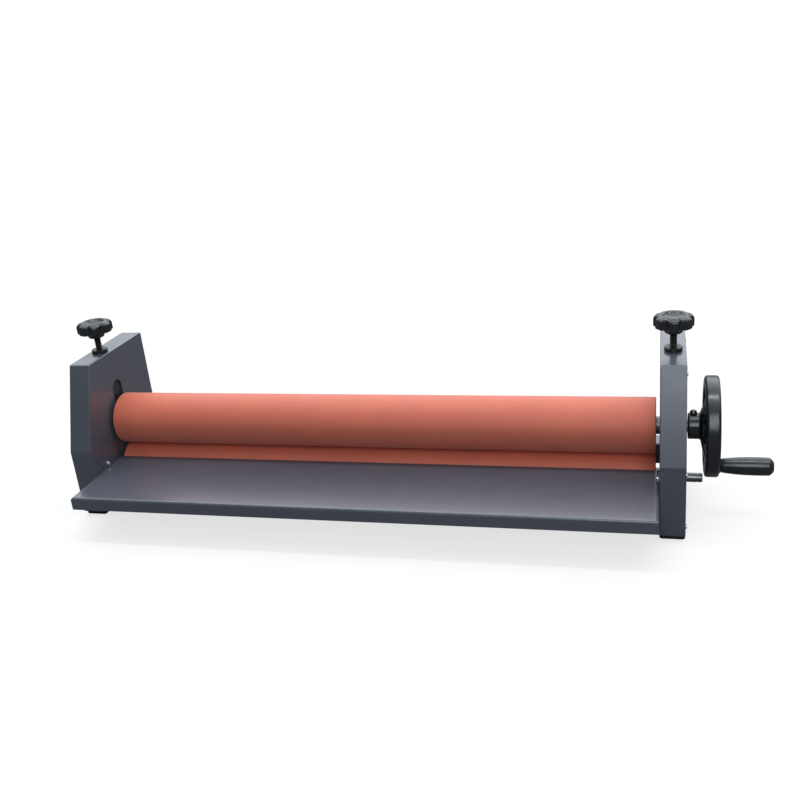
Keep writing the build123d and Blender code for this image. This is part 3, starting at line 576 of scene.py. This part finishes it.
def make_camera():
    data = bpy.data.cameras.new("camera")
    data.lens = CAMERA_LENS
    data.sensor_width = 36
    data.shift_x, data.shift_y = CAMERA_SHIFT
    data.clip_start, data.clip_end = 0.05, 60
    camera = bpy.data.objects.new("camera", data)
    turn = Matrix.Rotation(math.radians(CAMERA_TURN), 4, "Z")
    tilt = Matrix.Rotation(math.radians(CAMERA_TILT), 4, "X")
    roll = Matrix.Rotation(math.radians(CAMERA_ROLL), 4, "Y")
    look_along_y = Matrix.Rotation(math.radians(90), 4, "X")
    camera.matrix_world = Matrix.Translation(CAMERA_PLACE) @ turn @ tilt @ roll @ look_along_y
    bpy.context.scene.collection.objects.link(camera)
    bpy.context.scene.camera = camera


def soft_light(name, place, aim, size, power, color=(1, 1, 1)):
    data = bpy.data.lights.new(name, "AREA")
    data.shape = "RECTANGLE"
    data.size, data.size_y = size
    data.energy = power
    data.color = color
    light = bpy.data.objects.new(name, data)
    light.location = place
    light.rotation_euler = (Vector(aim) - Vector(place)).to_track_quat("-Z", "Y").to_euler()
    bpy.context.scene.collection.objects.link(light)


def white_surroundings():
    """Plain white where the camera looks past the floor; the light itself comes from above and behind."""
    world = bpy.data.worlds.new("surroundings")
    world.use_nodes = True
    tree = world.node_tree
    tree.nodes.clear()

    def node(kind, **settings):
        made = tree.nodes.new(kind)
        for key, value in settings.items():
            setattr(made, key, value)
        return made

    def ramped(value, ramp, top):
        ranged = node("ShaderNodeMapRange", interpolation_type="SMOOTHSTEP")
        for socket, number in zip(("From Min", "From Max", "To Min", "To Max"), (*ramp, 0.0, top)):
            ranged.inputs[socket].default_value = number
        tree.links.new(value, ranged.inputs["Value"])
        return ranged.outputs["Result"]

    def combined(operation, a, b):
        math_node = node("ShaderNodeMath", operation=operation)
        tree.links.new(a, math_node.inputs[0])
        tree.links.new(b, math_node.inputs[1])
        return math_node.outputs["Value"]

    outward = node("ShaderNodeTexCoord").outputs["Generated"]
    direction = node("ShaderNodeSeparateXYZ")
    tree.links.new(outward, direction.inputs["Vector"])
    tilted = node("ShaderNodeVectorMath", operation="DOT_PRODUCT")
    tilted.inputs[1].default_value = SKY_LEAN
    tree.links.new(outward, tilted.inputs[0])
    upwards = ramped(tilted.outputs["Value"], ZENITH_RAMP, ZENITH_LIGHT)
    backwards = ramped(direction.outputs["Y"], BACK_RAMP, BACK_LIGHT)
    above_floor = ramped(direction.outputs["Z"], HORIZON_RAMP, 1.0)
    strength = combined("ADD", upwards, combined("MULTIPLY", backwards, above_floor))
    with_ambient = node("ShaderNodeMath", operation="ADD")
    with_ambient.inputs[1].default_value = AMBIENT_LIGHT
    tree.links.new(strength, with_ambient.inputs[0])
    dome = node("ShaderNodeBackground")
    dome.inputs["Color"].default_value = SKY_COLOR
    tree.links.new(with_ambient.outputs["Value"], dome.inputs["Strength"])
    seen = node("ShaderNodeBackground")
    seen.inputs["Color"].default_value = (1, 1, 1, 1)
    seen.inputs["Strength"].default_value = 1.0
    mix = node("ShaderNodeMixShader")
    tree.links.new(node("ShaderNodeLightPath").outputs["Is Camera Ray"], mix.inputs["Fac"])
    tree.links.new(dome.outputs["Background"], mix.inputs[1])
    tree.links.new(seen.outputs["Background"], mix.inputs[2])
    tree.links.new(mix.outputs["Shader"], node("ShaderNodeOutputWorld").inputs["Surface"])
    bpy.context.scene.world = world


def pale_floor():
    """White sheet that takes a faint shadow near the object and runs out into plain white.

    All but the camera's own rays meet a darker sheet, so that little light comes up from below.
    """
    surface = Surface("pale_floor", (0.15, 0.15, 0.155), 0.9, Specular_IOR_Level=0.1)
    surface.colors_by(surface.noise(3.0, 3.0), [(0.3, (0.14, 0.14, 0.145)), (0.7, (0.16, 0.16, 0.165))])
    paper = surface.node("ShaderNodeBsdfDiffuse")
    paper.inputs["Color"].default_value = (0.9, 0.9, 0.9, 1)
    glow = surface.node("ShaderNodeEmission")
    glow.inputs["Strength"].default_value = 1.0
    distance = surface.node("ShaderNodeVectorMath", operation="LENGTH")
    surface.link(surface.place, distance.inputs[0])
    fade = surface.spread(distance.outputs["Value"], *FLOOR_FADE, *FLOOR_GLOW)
    seen = surface.node("ShaderNodeMixShader")
    surface.link(fade, seen.inputs["Fac"])
    surface.link(paper.outputs["BSDF"], seen.inputs[1])
    surface.link(glow.outputs["Emission"], seen.inputs[2])
    either = surface.node("ShaderNodeMixShader")
    surface.link(surface.node("ShaderNodeLightPath").outputs["Is Camera Ray"], either.inputs["Fac"])
    surface.link(surface.shader.outputs["BSDF"], either.inputs[1])
    surface.link(seen.outputs["Shader"], either.inputs[2])
    surface.link(either.outputs["Shader"], surface.tree.nodes["Material Output"].inputs["Surface"])
    mesh = bpy.data.meshes.new("floor")
    corners = [(x * FLOOR_HALF, y * FLOOR_HALF, 0) for x, y in ((-1, -1), (1, -1), (1, 1), (-1, 1))]
    mesh.from_pydata(corners, [], [(0, 1, 2, 3)])
    floor = bpy.data.objects.new("floor", mesh)
    floor.location.z = -FLOOR_DROP
    mesh.materials.append(surface.material)
    bpy.context.scene.collection.objects.link(floor)


# ---------------------------------------------------------------- build

finish_cad_nodes()
roller_sleeve("upper", UPPER_AXIS)
roller_sleeve("lower", LOWER_AXIS)
star_knob("left", LEFT_SCREW_AXIS, -56)
star_knob("right", RIGHT_SCREW_AXIS, -90)
pressure_screw("left", LEFT_SCREW_AXIS)
pressure_screw("right", RIGHT_SCREW_AXIS)
hand_wheel()
grip()

pale_floor()
white_surroundings()
make_camera()
soft_light("strip", place=(0, 0.1, 2.3), aim=(0, 0, 0.2), size=(3.4, 0.22), power=24)
soft_light(
    "front", place=(0.8, -2.6, 1.9), aim=(0.3, 0, 0.3), size=(1.5, 1.7), power=34, color=(0.86, 0.93, 1.0)
)
bpy.context.scene.view_settings.view_transform = "Standard"
